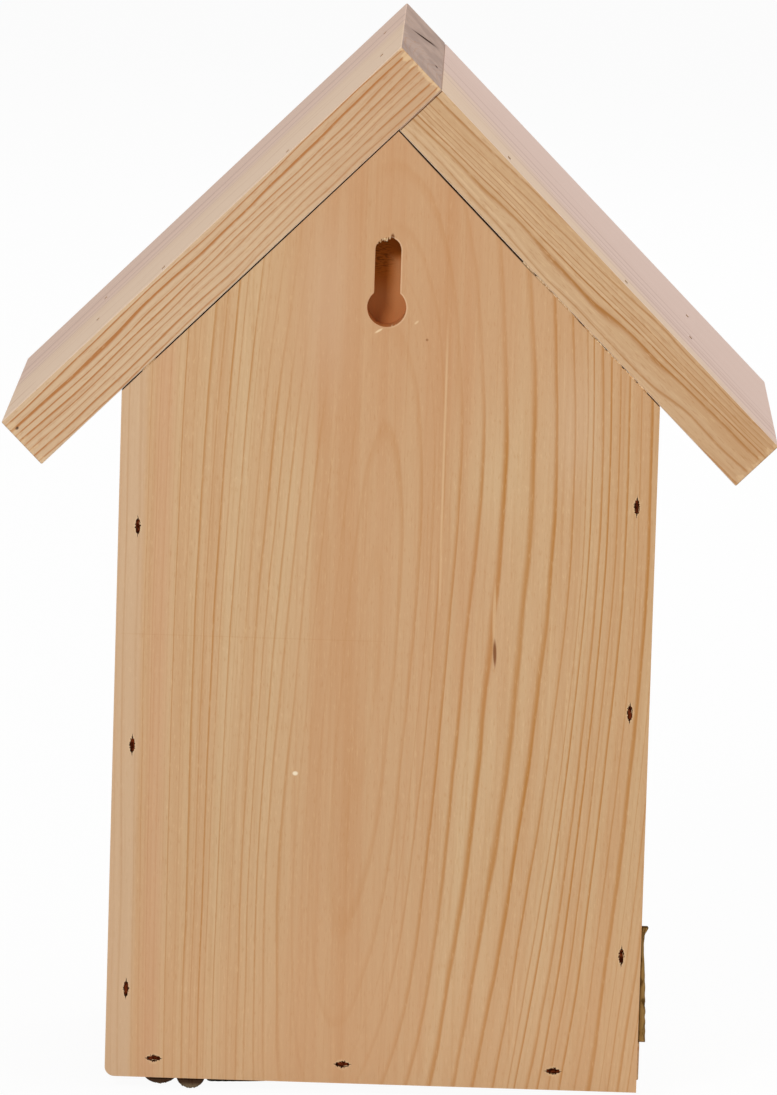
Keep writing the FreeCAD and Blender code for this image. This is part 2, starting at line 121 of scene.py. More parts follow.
class Tone:
    """A value in a finish's node tree. Arithmetic on it adds Math nodes."""

    def __init__(self, finish, socket):
        self.finish = finish
        self.socket = socket

    def maths(self, operation, *values):
        return self.finish.node("ShaderNodeMath", {"operation": operation}, dict(enumerate(values)))

    def __add__(self, other):
        return self.maths("ADD", self, other)

    def __radd__(self, other):
        return self.maths("ADD", other, self)

    def __sub__(self, other):
        return self.maths("SUBTRACT", self, other)

    def __rsub__(self, other):
        return self.maths("SUBTRACT", other, self)

    def __mul__(self, other):
        return self.maths("MULTIPLY", self, other)

    def __rmul__(self, other):
        return self.maths("MULTIPLY", other, self)

    def __truediv__(self, other):
        return self.maths("DIVIDE", self, other)

    def __pow__(self, other):
        return self.maths("POWER", self, other)

    def __abs__(self):
        return self.maths("ABSOLUTE", self)

    def floor(self):
        return self.maths("FLOOR", self)


class Finish:
    """A material, or the world, whose nodes are added one by one."""

    def __init__(self, name, kind=bpy.data.materials, shader="Principled BSDF"):
        self.material = kind.new(name)
        self.material.use_nodes = True
        self.tree = self.material.node_tree
        self.shader = self.tree.nodes[shader]

    def node(self, kind, settings=None, inputs=None, output=0):
        """One node: its settings first, then the values or links of its sockets."""
        made = self.tree.nodes.new(kind)
        for name, setting in (settings or {}).items():
            setattr(made, name, setting)
        for key, given in (inputs or {}).items():
            if isinstance(given, Tone):
                self.tree.links.new(given.socket, made.inputs[key])
            else:
                made.inputs[key].default_value = given
        return Tone(self, made.outputs[output])

    def millimetres(self, axes=(X_AXIS, Y_AXIS, Z_AXIS), shift=(0, 0, 0)):
        """Object coordinates in millimetres along three given axes, less a shift."""
        place = self.node("ShaderNodeTexCoord", output="Object")
        parts = {}
        for index, (axis, start) in enumerate(zip(axes, shift)):
            scaled = [part / MM for part in axis]
            parts[index] = self.along(place, scaled) - start
        return self.node("ShaderNodeCombineXYZ", inputs=parts)

    def along(self, vector, axis):
        """How far a vector reaches along an axis."""
        return self.node("ShaderNodeVectorMath", {"operation": "DOT_PRODUCT"}, {0: vector, 1: axis}, "Value")

    def split(self, vector):
        """The three parts of a vector."""
        node = self.node("ShaderNodeSeparateXYZ", inputs={0: vector}).socket.node
        return [Tone(self, socket) for socket in node.outputs]

    def facing(self, axis, low, high):
        """A soft step between two shares of how squarely the surface faces along an axis, from 0 to 1."""
        normal = self.node("ShaderNodeTexCoord", output="Normal")
        return self.smooth(abs(self.along(normal, axis)), low, high)

    def stretched(self, vector, scale):
        """A vector with each part scaled."""
        return self.node("ShaderNodeVectorMath", {"operation": "MULTIPLY"}, {0: vector, 1: scale})

    def noise(self, vector, scale, detail=2.0, roughness=0.5):
        """Soft noise with its own scale along each axis, about 0 to 1."""
        inputs = {"Vector": self.stretched(vector, scale), "Scale": 1.0}
        inputs.update({"Detail": detail, "Roughness": roughness})
        return self.node("ShaderNodeTexNoise", {"noise_dimensions": "3D"}, inputs)

    def noise_along(self, value, detail=1.0):
        """Soft noise along one value."""
        inputs = {"W": value, "Scale": 1.0, "Detail": detail}
        return self.node("ShaderNodeTexNoise", {"noise_dimensions": "1D"}, inputs)

    def chance(self, value):
        """An unrelated number from 0 to 1 for each whole value."""
        return self.node("ShaderNodeTexWhiteNoise", {"noise_dimensions": "1D"}, {"W": value})

    def cells(self, vector, scale, feature="F1"):
        """Distance to the nearest point of a scatter, or to the edge between its cells."""
        inputs = {"Vector": self.stretched(vector, scale), "Scale": 1.0}
        return self.node("ShaderNodeTexVoronoi", {"feature": feature}, inputs, "Distance")

    def length(self, *parts):
        """Root of the sum of squares."""
        total = parts[0] * parts[0]
        for part in parts[1:]:
            total = total + part * part
        return total.maths("SQRT", total)

    def smooth(self, value, low, high):
        """A soft step from 0 at low to 1 at high."""
        limits = {"Value": value, "From Min": low, "From Max": high}
        return self.node("ShaderNodeMapRange", {"interpolation_type": "SMOOTHSTEP"}, limits)

    def within(self, value, low, high, soft):
        """1 between two limits, with soft ends."""
        return self.smooth(value, low - soft, low + soft) * (1 - self.smooth(value, high - soft, high + soft))

    def patch(self, across, up, wide, tall):
        """1 where two values each lie in a range, given as its two limits and the softness of its ends."""
        return self.within(across, *wide) * self.within(up, *tall)

    def spot(self, across, up, x, z, wide, tall):
        """1 at a point on a face, falling to 0 at the edge of an oval."""
        reach = self.length((across - x) / wide, (up - z) / tall)
        return 1 - self.smooth(reach, 0.4, 1.0)

    def mixed(self, first, second, share):
        """From one value to another by a share."""
        return first + (second - first) * share

    def blend(self, first, second, share):
        """From one colour to another by a share."""
        inputs = {0: share, 6: first, 7: second}
        return self.node("ShaderNodeMix", {"data_type": "RGBA", "clamp_factor": True}, inputs, 2)

    def ramp(self, value, soft):
        """0 below 0 and the value itself above, with a soft bend between."""
        return (value + (value * value + soft * soft) ** 0.5) * 0.5

    def attribute(self, name):
        """A number stored on the piece's own points."""
        return self.node("ShaderNodeAttribute", {"attribute_name": name}, output="Fac")

    def dry(self):
        """Bare, dry wood and bark don't shine."""
        self.shader.inputs["Specular IOR Level"].default_value = 0.0

    def white_when_seen(self, white, share, output):
        """Show a share of plain white to the camera and in reflections, and light the scene as before."""
        seen, glossy, through = (self.node("ShaderNodeLightPath", output=f"Is {ray} Ray")
                                 for ray in ("Camera", "Glossy", "Transmission"))
        seen = seen.maths("MAXIMUM", seen, glossy.maths("MAXIMUM", glossy, through))
        plain = Tone(self, self.shader.outputs[0])
        shown = self.node(white, inputs={"Color": (1, 1, 1, 1)})
        mixed = self.node("ShaderNodeMixShader", inputs={0: seen * share, 1: plain, 2: shown})
        self.tree.links.new(mixed.socket, self.tree.nodes[output].inputs["Surface"])

    def surface(self, base, roughness, height, depth):
        """Feed the shader. Height from 0 to 1 is carved to a depth in millimetres."""
        bumped = {"Height": height, "Strength": 1.0, "Distance": depth * MM}
        normal = self.node("ShaderNodeBump", inputs=bumped)
        links = {"Base Color": base, "Roughness": roughness, "Normal": normal}
        for key, given in links.items():
            if isinstance(given, Tone):
                self.tree.links.new(given.socket, self.shader.inputs[key])
            else:
                self.shader.inputs[key].default_value = given
        return self.material


# Pine


# How rings show on a board: their width, the strength of their lines, slow sway and quicker wave of the
# lines in rings, how uneven the rings are, the share of a ring that its widest line takes, the strength of
# its weakest and, on a roof board, how much bolder its lines are beside the weather face
Grain = namedtuple(
    "Grain", "ring bold sway wave uneven wide least arris", defaults=(1.0, 3.0, 0.3, 2.6, 0.28, 0.25, 0.0))
Rings = namedtuple("Rings", "line streak fibre drift speck")


def growth(finish, point, distance, grain, calm=0.0):
    """Growth rings: distance from the heart in ring widths, swayed by noise. Each ring ends in a late-wood
    line of its own width and strength. Returns the line, streaks that follow the rings, fibre streaks, the
    slow drift of tone and short specks, each about 0 to 1. Where the wood is calm, streaks and drift run
    straight with the fibres instead."""
    swayed = finish.noise(point, (0.02, 0.02, 0.005)) - 0.5
    waved = finish.noise(point, (0.08, 0.08, 0.016)) - 0.5
    uneven = finish.noise_along(distance * 0.09, 2.0) - 0.5
    count = distance / grain.ring + swayed * grain.sway + waved * grain.wave + uneven * grain.uneven
    number = count.floor()
    share = count - number
    weight = finish.chance(number)
    line = finish.smooth(share, 0.8 - weight * grain.wide, 0.9) * (1 - finish.smooth(share, 0.89, 1.0))
    fade = finish.noise(point, (0.06, 0.06, 0.012))
    line = line * (grain.least + weight * (1 - grain.least)) * (0.4 + fade * 1.2) * grain.bold
    fibre = finish.noise(point, (0.9, 0.9, 0.02), detail=4.0, roughness=0.6)
    straight = finish.noise(point, (0.16, 0.16, 0.003), detail=3.0)
    streak = finish.mixed(finish.noise_along(count * 3.1, 3.0), straight, calm)
    drift = finish.mixed(finish.noise_along(count * 0.4), straight, calm * 0.6 + 0.4)
    speck = finish.noise(point, (2.2, 2.2, 0.3))
    return Rings(line, streak, fibre, drift, speck)


def pine_colour(finish, grown, early, late, warm):
    """Pale early wood that drifts to a warmer tone, darker streaks with the rings and the fibres, and
    late-wood lines."""
    base = finish.blend(early, warm, 0.2 + finish.smooth(grown.drift, 0.36, 0.64) * 0.6)
    base = finish.blend(base, late, finish.smooth(grown.streak, 0.45, 0.8) * 0.2)
    base = finish.blend(base, late, finish.smooth(grown.fibre, 0.48, 0.8) * 0.34)
    base = finish.blend(base, PALE_FIBRE, (1 - finish.smooth(grown.fibre, 0.22, 0.44)) * 0.4)
    base = finish.blend(base, late, grown.line)
    base = finish.blend(base, late, finish.smooth(grown.speck, 0.58, 0.72) * 0.3)
    return finish.blend(base, PALE_FIBRE, (1 - finish.smooth(grown.speck, 0.28, 0.42)) * 0.3)


def planed_wood(finish, base, fibre, roughness):
    """Dry planed wood, rougher on the fibre streaks, which stand up a little."""
    finish.dry()
    return finish.surface(base, roughness + fibre * 0.2, fibre, FIBRE_HEIGHT)


BOARD_ROUGHNESS = 0.58
BACK_ROUGHNESS = 0.6
FIBRE_HEIGHT = 0.07
PALE_FIBRE = colour(224, 192, 150)
PALE = colour(206, 174, 135)
WARM = colour(200, 159, 119)
LINE = colour(180, 126, 70)
DEEP = colour(192, 136, 95)
FOOT_PALE = colour(224, 176, 133)
ROOF_PALE = colour(211, 183, 150)
ROOF_WARM = colour(204, 171, 136)
ROOF_LINE = colour(177, 119, 72)
ROOF_TOP = colour(233, 207, 183)
ROOF_TOP_PINK = colour(229, 202, 186)
SHORT_TOP = colour(226, 201, 178)
SHORT_TOP_PINK = colour(222, 197, 185)
TOP_STREAK = colour(184, 152, 138)
GOLD_PALE = colour(208, 176, 140)
GOLD_WARM = colour(196, 158, 118)
GOLD_LINE = colour(168, 114, 62)
END_GRAIN = colour(164, 130, 104)
ROOF_END = colour(191, 167, 154)
ROOF_END_GREY = colour(176, 154, 143)
ROUTED = colour(202, 137, 86)
# Painted shade for the keyhole's shaded side and its top.
ROUTED_SHADE = colour(186, 104, 38)
# Near-black: stain round staples, dark cracks and pinholes, and painted shade in slots, joints and on bark.
STAIN_AND_SHADE = colour(46, 18, 8)
# Painted shade in the roof's joints.
GAP_SHADE = colour(64, 20, 0)
# Painted light that fades the joint's painted shade near the short board's low end.
GAP_PAINTED_LIGHT = colour(255, 216, 160)
RIM = colour(226, 196, 154)


def pine(name, axes, shift, grain):
    """A board of pine: its axes are across, through and along the grain, and its shift puts the heart
    at 0."""
    finish = Finish(name)
    point = finish.millimetres(axes, shift)
    grown = growth(finish, point, finish.length(*finish.split(point)[:2]), grain)
    base = pine_colour(finish, grown, PALE, LINE, WARM)
    ends = finish.facing(axes[2], 0.8, 0.95)
    base = finish.blend(base, finish.blend(END_GRAIN, LINE, grown.line * 0.5), ends * 0.9)
    return planed_wood(finish, base, grown.fibre, BOARD_ROUGHNESS)


def roof_pine(name, axes, shift, grain, tones, tops, tilt, crowd, ends, tears, darker_span, cracks, pinholes):
    """A roof board: planed edges with lines along the slope, tilted a little to it and crowded within a band
    of distances. Its broad faces are weathered from pale to pink in long streaks, from a start that slants
    along the slope. Tears are the shares of its upper and lower end where the saw tore the fibres; an upper
    end without tears gets a seam of painted shade. Darker span is the two places along the slope between
    which its edges darken a little. Cracks are dark spots on its upper end grain: across, through, two
    radii, lean. Pinholes are places along and through."""
    finish = Finish(name)
    early, late, warm = tones
    point = finish.millimetres(axes, shift)
    across, through, along = finish.split(point)
    distance = finish.length(across, through + along * tilt)
    low, high, extra = crowd
    crowded = distance + finish.smooth(distance, low, high) * extra
    outer = ROOF_MIDDLE + ROOF_THICKNESS - shift[1]
    beside_top = finish.smooth(through, outer - 7.0, outer - 1.0)
    bold = grain.bold * (1 + beside_top * grain.arris)
    grown = growth(finish, point, crowded, grain._replace(bold=bold))
    base = pine_colour(finish, grown, early, late, warm)
    base = finish.blend(base, late, finish.smooth(along, *darker_span) * 0.24)
    for place, height in pinholes:
        base = finish.blend(base, STAIN_AND_SHADE, finish.spot(along, through, place, height, 0.8, 0.6) * 0.8)
    weather = finish.noise(point, (0.03, 0.03, 0.003))
    pale, pink, start, slant = tops
    forward = finish.split(finish.millimetres((FORWARD, Z_AXIS, X_AXIS)))[0]
    forward = forward + (weather - 0.5) * 40.0 + along * slant
    top = finish.blend(pale, pink, finish.smooth(forward, start - 18.0, start + 18.0))
    streaked = finish.noise(point, (0.32, 0.32, 0.0015), detail=3.0)
    streaked = finish.smooth(streaked, 0.5, 0.68) * finish.within(forward, start - 10.0, start + 50.0, 14.0)
    top = finish.blend(top, TOP_STREAK, streaked * 0.58)
    top = finish.blend(top, late, grown.line * 0.15)
    base = finish.blend(base, top, finish.facing(axes[1], 0.5, 0.72))
    chip = finish.noise(point, (0.5, 0.5, 0.25), detail=3.0)
    planed = finish.facing(axes[0], 0.7, 0.9)
    for stop, way, share in zip(ends, (1, -1), tears):
        torn = 1 - finish.smooth((along - stop) * way + (chip - 0.5) * 10.0, 0.2, 1.6)
        torn = torn * planed * share
        base = finish.blend(base, PALE_FIBRE, torn * 0.7)
        base = finish.blend(base, late, torn * finish.smooth(chip, 0.52, 0.6))
    # A seam of painted shade along an upper end without tears.
    seam_shade = (1 - finish.smooth(along - ends[0], 0.1, 0.35)) * (1 - tears[0]) * planed
    soiled = finish.noise(point, (0.05, 0.12, 0.2), detail=4.0)
    end = finish.blend(ROOF_END, ROOF_END_GREY, finish.smooth(soiled, 0.4, 0.62))
    end = finish.blend(end, late, grown.line * 0.15)
    upper = finish.smooth(along - ends[0], 20.0, 10.0)
    for middle, height, wide, tall, lean in cracks:
        leaning = across - (through - height) * lean
        crack = finish.spot(leaning, through, middle, height, wide, tall)
        end = finish.blend(end, STAIN_AND_SHADE, crack * upper * 0.9)
    base = finish.blend(base, end, finish.facing(axes[2], 0.72, 0.85))
    base = finish.blend(base, GAP_SHADE, seam_shade * 0.9)
    return planed_wood(finish, base, grown.fibre, BOARD_ROUGHNESS)


def driven(finish, ragged, beside, along, wide, half):
    """Where a staple was driven, from its distances beside and along its crown and the slot's half width
    and half length: how dark the slot is painted, a ragged lens with a thin tail at each end, partly stain
    round the wire and partly painted shade in the slot, and how much torn rim shows."""
    lens = abs(beside) / wide + (along / half) ** 2 + ragged
    tail = abs(beside + ragged * 0.3) / 0.3 + (along / (half * 1.35)) ** 2
    reach = lens.maths("MINIMUM", lens, tail)
    return 1 - finish.smooth(reach, 0.88, 1.08), finish.within(lens, 1.1, 1.5, 0.3)


def back_board_pine():
    """The back board: a faint spindle of arches up the middle, fine straight lines on its right side and
    bold lines on its left, sparse at first and close beside the edge. Lines lean to the right towards the
    foot, most on the left and none at the right edge. The heart bows away at both ends, so distance grows
    there. Then come single marks, the staple slots in stain and painted shade, the routed keyhole with
    painted shade inside and a painted highlight on its rim, and painted shade in the joint under the roof,
    faded by painted light near its low end."""
    finish = Finish("back_board_pine")
    point = finish.millimetres()
    x, y, z = finish.split(point)
    fine_side = finish.smooth(x, -14.0, 14.0)
    spread = 0.8 + fine_side * 0.2
    edge = finish.smooth(0 - x, 40.0, 85.0)
    lean = 0.055 * (2 - finish.smooth(x, 30.0, 80.0) - finish.smooth(x, -50.0, 0.0) - edge * 0.5)
    leaning = lean * finish.ramp(222.0 + x * 0.9 - z, 30.0)
    across = (x + 0.3 - leaning) * spread * (1 + edge * 0.12)
    bow = (z - 129.0) / 85.0
    distance = finish.length(across, y + 4.0 + bow * bow * 5.0)
    coarse = 1 - fine_side
    sparse = coarse * finish.smooth(distance, 20.0, 50.0)
    high = finish.smooth(z, 185.0, 235.0)
    middle = 1 - finish.smooth(abs(across), 8.0 + high * 8.0, 30.0 + high * 18.0)
    bold = 1.08 - fine_side * 0.3 - middle * (0.58 + high * 0.2)
    grain = Grain(3.0 + fine_side * 0.1, bold, 1.4, 0.35, 2.2, 0.18 + coarse * 0.1, 0.28 + coarse * 0.25)
    grown = growth(finish, point, distance - sparse * 12.0, grain, middle)
    base = pine_colour(finish, grown, PALE, LINE, WARM)
    base = finish.blend(base, DEEP, middle * 0.28 + high * 0.14 * finish.smooth(x, 45.0, 15.0))
    base = finish.blend(base, LINE, edge * 0.12)
    base = finish.blend(base, FOOT_PALE, (1 - finish.smooth(z, 10.0, 80.0)) * 0.2)
    # A painted highlight along the keyhole's rim on its -X side.
    up = z - KEYHOLE_Z
    climbed = up.maths("MAXIMUM", up.maths("MINIMUM", up, KEYHOLE_RISE), 0.0)
    entry = finish.length(x - KEYHOLE_X, up) - KEYHOLE_ENTRY
    outside = entry.maths("MINIMUM", entry, finish.length(x - KEYHOLE_X, up - climbed) - KEYHOLE_SLOT)
    keyhole_highlight = finish.within(outside, 0.05, 0.4, 0.15)
    faded = finish.patch(x, z, (14.0, 26.0, 8.0), (222.0, 268.0, 20.0)) * 0.3
    faded = faded + finish.patch(x, z, (-64.0, -50.0, 6.0), (190.0, 225.0, 15.0)) * 0.25
    deepened = finish.patch(x, z, (-38.0, -22.0, 6.0), (118.0, 178.0, 15.0))
    scratched = finish.patch(x, z, (-17.1, -16.5, 0.3), (153.0, 233.0, 12.0))
    scored = finish.patch(x, z, (0.0, 80.0, 6.0), (139.1, 139.4, 0.15))
    specks = 1 - finish.smooth(finish.cells(point, (0.05, 0.05, 0.05)), 0.012, 0.028)
    # Painted shade on the back face along the joint under the short roof board, widening the dark joint line.
    joint_shade = finish.smooth(abs(x) + z - SLOPE_TOP, -0.45, -0.05) * finish.within(x, -43.0, -4.0, 4.0)
    marks = (
        (faded, colour(212, 182, 152)),
        (joint_shade * 0.7, STAIN_AND_SHADE),
        (deepened * 0.25, DEEP),
        (finish.smooth(x, 73.5, 76.0) * 0.45, colour(208, 179, 150)),
        (finish.within(x, 66.0, 72.0, 2.5) * 0.35, colour(204, 152, 118)),
        (scratched * 0.5, colour(224, 192, 152)),
        (finish.spot(x, z, -33.8, 148.7, 0.7, 12.0) * 0.5, colour(222, 190, 150)),
        (finish.spot(x - z * 0.04, z, -39.8, 136.7, 0.7, 5.5) * 0.85, colour(118, 66, 32)),
        (finish.spot(x, z, 26.0, 97.2, 1.1, 0.9), colour(238, 220, 190)),
        (finish.spot(x + z * 1.3, z, 4.3 + 235.6 * 1.3, 235.6, 0.8, 1.0) * 0.8, colour(234, 206, 166)),
        (finish.spot(x + z * 0.8, z, -7.2 + 238.5 * 0.8, 238.5, 0.6, 0.8) * 0.6, colour(228, 198, 158)),
        (finish.spot(x, z, 0.9, 264.4, 0.8, 1.6) * 0.9, colour(104, 56, 24)),
        (keyhole_highlight * finish.smooth(x, 4.0, -2.0) * 0.35, colour(236, 202, 164)),
        (scored * 0.15, LINE),
        (specks * 0.7, colour(140, 92, 54)),
    )
    for share, tone in marks:
        base = finish.blend(base, tone, share)
    ragged = (finish.noise(point, (1.9, 1.9, 1.9), detail=3.0) - 0.5) * 1.9
    # Each staple slot is painted as a near-black lens, stain round the wire and painted shade in the slot.
    slots = [driven(finish, ragged, x - place, z - height, 0.85, 2.7) for place, height in SIDE_STAPLES]
    slots += [driven(finish, ragged, z - height, x - place, 1.05, 2.2) for place, height in FLOOR_STAPLES]
    stained = 0.0
    for dark, rim in slots:
        base = finish.blend(base, RIM, rim * 0.4)
        base = finish.blend(base, STAIN_AND_SHADE, dark)
        stained = stained + dark
    # Faces sunk below the back face: near-black painted shade in the staple slots, and the keyhole's own
    # tones.
    sunk = 1 - finish.smooth(y, -0.5, -0.1)
    clear_of_edges = (1 - finish.smooth(abs(x), 79.0, 80.0)) * finish.smooth(z, 2.5, 3.5)
    clear_of_edges = clear_of_edges * (1 - finish.smooth(abs(x) + z, 290.5, 291.5))
    at_keyhole = finish.patch(x, z, (-9.0, 13.0, 1.0), (233.0, 270.0, 1.0))
    chatter = finish.smooth(finish.noise(point, (0.5, 0.5, 2.6), detail=1.0), 0.5, 0.62)
    chatter = chatter * finish.smooth(z, 249.0, 256.0) * finish.smooth(x, -1.0, 4.0)
    # Painted shade in the keyhole: darker on its shaded side and at the top of the slot, less in the round
    # entry.
    shaded = finish.smooth(x, -1.5, 3.0)
    deep = shaded.maths("MAXIMUM", shaded, finish.smooth(z, 255.0, 259.0))
    deep = deep * (0.4 + finish.smooth(z, 244.0, 253.0) * 0.6)
    routed = finish.blend(ROUTED, ROUTED_SHADE, deep)
    cut = finish.blend(STAIN_AND_SHADE, finish.blend(routed, STAIN_AND_SHADE, chatter * 0.5), at_keyhole)
    base = finish.blend(base, cut, sunk * clear_of_edges)
    # Painted shade on the slope edges hidden under the roof boards, seen as the dark joint line.
    right_slope = finish.facing(RIGHT_OUT, 0.8, 0.95)
    left_slope = finish.facing(LEFT_OUT, 0.8, 0.95)
    under_roof_shade = right_slope * finish.smooth(x, 5.0, 45.0) + left_slope * finish.within(x, -45.0, 0.0, 8.0)
    under_roof_shade = under_roof_shade * finish.smooth(finish.noise(point, (0.12, 0.12, 0.12)), 0.3, 0.45)
    base = finish.blend(base, GAP_SHADE, under_roof_shade)
    # Painted light on the slope edge near the short board's low end, fading the dark joint line there.
    base = finish.blend(base, GAP_PAINTED_LIGHT, left_slope * finish.within(x, -81.5, -52.0, 4.0))
    return planed_wood(finish, base, grown.fibre, BACK_ROUGHNESS + (stained + under_roof_shade) * 0.4)


# Filling, bark and wire


def branch_wood(name, x):
    """A sawn branch end: rings about a heart a little off centre, a darker heart, drying cracks that run
    outwards."""
    finish = Finish(name)
    point = finish.millimetres((X_AXIS, Z_AXIS, Y_AXIS), (x + 1.6, LOG_Z - 1.1, 0.0))
    across, up = finish.split(point)[:2]
    distance = finish.length(across, up)
    grown = growth(finish, point, distance, Grain(1.7, 0.9, 1.0))
    base = pine_colour(finish, grown, colour(214, 182, 134), colour(150, 102, 58), colour(196, 150, 100))
    core = 1 - finish.smooth(distance, 2.0, 9.0)
    base = finish.blend(base, colour(150, 98, 60), core * 0.6)
    angle = across.maths("ARCTAN2", up, across) * (7 / (2 * math.pi))
    bent = angle + (finish.noise(point, (0.12, 0.12, 0.02)) - 0.5) * 0.9
    number = bent.floor()
    gap = abs(bent - number - 0.5) * distance
    crack = (1 - finish.smooth(gap, 0.15, 0.5)) * finish.smooth(finish.chance(number + 31.0), 0.3, 0.4)
    crack = crack * finish.smooth(distance, 1.0, 4.0) * (1 - finish.smooth(distance, 14.0, 20.5))
    base = finish.blend(base, colour(70, 42, 24), crack * 0.85)
    finish.dry()
    return finish.surface(base, 0.7, grown.fibre * 0.5 - crack * 0.6, 0.3)


def bark(name, light, dark, moss, cut, shade=None):
    """Furrowed bark on a branch along Y: long cells, dark in the furrows, with patches of a third tone and
    a paler layered brown where it is cut across. Shade is a way, 0 across or 1 up, and the two places along
    it between which painted shade darkens the bark towards where it meets the wood."""
    finish = Finish(name)
    point = finish.millimetres((X_AXIS, Z_AXIS, Y_AXIS))
    across, up = finish.split(point)[:2]
    furrow = finish.cells(point, (0.32, 0.32, 0.09), "DISTANCE_TO_EDGE")
    grit = finish.noise(point, (0.9, 0.9, 0.5), detail=5.0, roughness=0.65)
    patch = finish.noise(point, (0.06, 0.06, 0.04), detail=3.0)
    layer = finish.noise(point, (1.2, 0.3, 0.3), detail=3.0)
    ridge = finish.smooth(furrow, 0.02, 0.35)
    base = finish.blend(dark, light, ridge * finish.smooth(grit, 0.25, 0.7))
    base = finish.blend(base, moss, finish.smooth(patch, 0.52, 0.7) * 0.6)
    sawn = finish.facing(Y_AXIS, 0.6, 0.85)
    base = finish.blend(base, finish.blend(dark, cut, finish.smooth(layer, 0.25, 0.5)), sawn)
    # Painted shade: the bark darkens towards the wood that it lies against.
    if shade:
        way, clear, deep = shade
        base = finish.blend(base, STAIN_AND_SHADE, finish.smooth((across, up)[way], clear, deep) * 0.85)
    finish.dry()
    return finish.surface(base, 0.82, (ridge * 0.6 + grit * 0.5) * (1 - sawn * 0.8), 0.5)


def bamboo():
    """Dry cane: a waxy straw skin with long streaks, darker at the joints, and a pale cut end dotted with
    fibres."""
    finish = Finish("bamboo_cane")
    point = finish.millimetres((X_AXIS, Z_AXIS, Y_AXIS))
    streak = finish.noise(point, (0.9, 0.9, 0.02), detail=4.0, roughness=0.6)
    dots = finish.cells(point, (1.35, 1.35, 0.004))
    blotch = finish.noise(point, (0.15, 0.15, 0.03), detail=3.0)
    tone, skin, joint, bore = (finish.attribute(name) for name in ("tone", "skin", "joint", "bore"))
    outer = finish.blend(colour(196, 166, 98), colour(176, 138, 74), finish.smooth(streak, 0.3, 0.75))
    outer = finish.blend(outer, colour(158, 142, 84), finish.smooth(blotch, 0.5, 0.72) * 0.5)
    outer = finish.blend(outer, colour(116, 86, 46), joint * 0.75)
    dotted = (1 - finish.smooth(dots, 0.18, 0.34)) * 0.85
    cut = finish.blend(colour(222, 200, 150), colour(176, 138, 82), dotted)
    cut = finish.blend(cut, colour(140, 104, 58), bore * 0.8)
    base = finish.blend(cut, outer, skin)
    base = finish.blend(base, colour(150, 112, 60), tone * 0.4)
    return finish.surface(base, 0.62 - skin * 0.22 + streak * 0.1, streak * 0.4 + dots * 0.3, 0.12)


def torn_wood():
    """Fresh torn fibres, paler than the planed face."""
    finish = Finish("torn_fibre")
    point = finish.millimetres()
    fibre = finish.noise(point, (2.5, 2.5, 0.3))
    base = finish.blend(colour(236, 206, 164), colour(198, 152, 104), finish.smooth(fibre, 0.35, 0.65))
    finish.dry()
    return finish.surface(base, 0.7, fibre, 0.05)


def staple_wire():
    """Dull wire, stained brown where it was driven in."""
    finish = Finish("staple_wire")
    point = finish.millimetres()
    rust = finish.noise(point, (0.8, 0.8, 0.8), detail=4.0)
    share = finish.smooth(rust, 0.4, 0.65)
    base = finish.blend(colour(124, 54, 26), colour(62, 24, 10), share)
    finish.shader.inputs["Metallic"].default_value = 1.0
    return finish.surface(base, 0.6 + share * 0.2, rust, 0.05)


# Surfaces


def finished(name, points, faces, material, slot, *nodes):
    """Put a surface in place, in metres, with its finish and the nodes that it replaces; its record slot is
    not used.
    """
    mesh = bpy.data.meshes.new(name)
    mesh.from_pydata((points * MM).tolist(), [], faces)
    mesh.update()
    mesh.shade_smooth()
    mesh.materials.append(material)
    piece = bpy.data.objects.new(name, mesh)
    bpy.context.scene.collection.objects.link(piece)
    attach(piece, "root")
    if nodes:
        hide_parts(*nodes)
    return piece


def store(piece, **values):
    """Numbers on a piece's points, for its finish."""
    for name, numbers in values.items():
        attribute = piece.data.attributes.new(name, "FLOAT", "POINT")
        attribute.data.foreach_set("value", np.asarray(numbers, np.float32).ravel())


def quads(rows, columns, wrap_rows=False):
    """Faces between the points of a grid whose columns close on themselves, and its rows too if they wrap."""
    row = np.arange(rows if wrap_rows else rows - 1)[:, None]
    column = np.arange(columns)[None, :]
    after = (row + 1) % rows
    beside = (column + 1) % columns
    here = row * columns
    there = after * columns
    corners = np.broadcast_arrays(here + column, here + beside, there + beside, there + column)
    return np.stack(corners, -1).reshape(-1, 4).tolist()


def tube_faces(rows, columns):
    """Faces of a grid of closed rings, with a fan to one more point at each end."""
    ring = np.arange(columns)
    beside = (ring + 1) % columns
    first = rows * columns
    last = first + 1
    low = np.stack([beside, ring, np.full(columns, first)], -1)
    top = (rows - 1) * columns
    high = np.stack([top + ring, top + beside, np.full(columns, last)], -1)
    return quads(rows, columns) + low.tolist() + high.tolist()


def ripple(across, along, seed, waves=7):
    """A smooth pattern, nearly always from -1 to 1: a few seeded sine waves added up and divided by 1.6
    times the root of their number. Across counts whole turns, so that it closes on itself."""
    draw = np.random.default_rng(seed)
    total = np.zeros(np.broadcast(across, along).shape)
    for _ in range(waves):
        turns = draw.integers(1, 14)
        pace = draw.uniform(-0.12, 0.12)
        total = total + np.sin(turns * across + pace * along + draw.uniform(0, 2 * math.pi))
    return total / math.sqrt(waves) / 1.6


